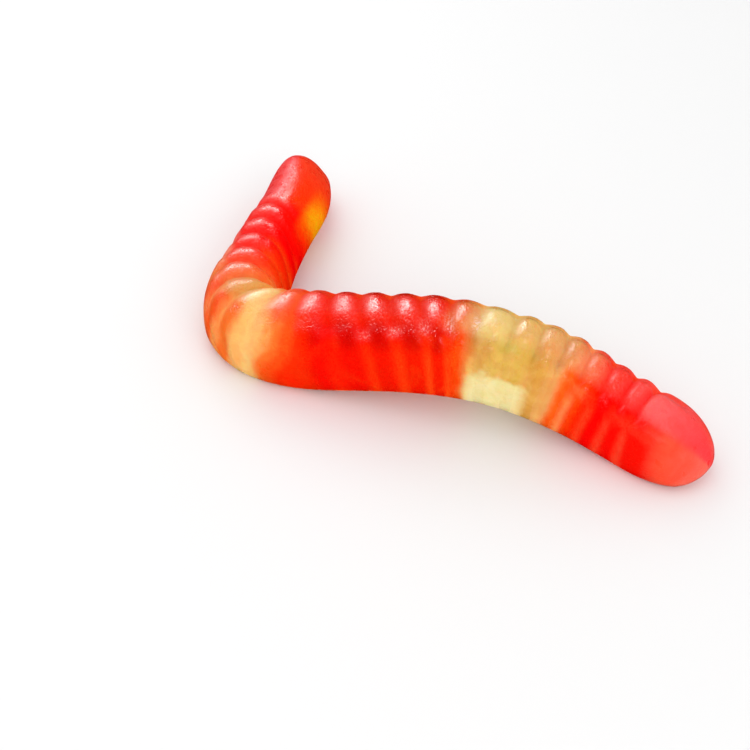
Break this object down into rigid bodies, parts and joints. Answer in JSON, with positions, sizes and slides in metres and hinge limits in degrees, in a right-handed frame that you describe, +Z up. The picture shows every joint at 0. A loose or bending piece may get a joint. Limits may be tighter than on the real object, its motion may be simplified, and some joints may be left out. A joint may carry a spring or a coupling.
{
  "type": "gummy worm",
  "caption": "Soft jelly sweet in the shape of a ribbed worm with a flat underside, bent at an elbow, its clear body shaded from red through yellow and tan back to red",
  "frame": {"origin": "middle of the bounding box in plan, on the ground plane under the worm", "axes": "+X runs along the near leg from the elbow towards the tail and is the longest extent; +Y points from the elbow towards the head; +Z is up, away from the flat underside"},
  "size_m": [0.0538, 0.053, 0.0118],
  "materials": {
    "jelly": null
  },
  "bodies": {
    "root": {"worm": "jelly"}
  },
  "joints": []
}
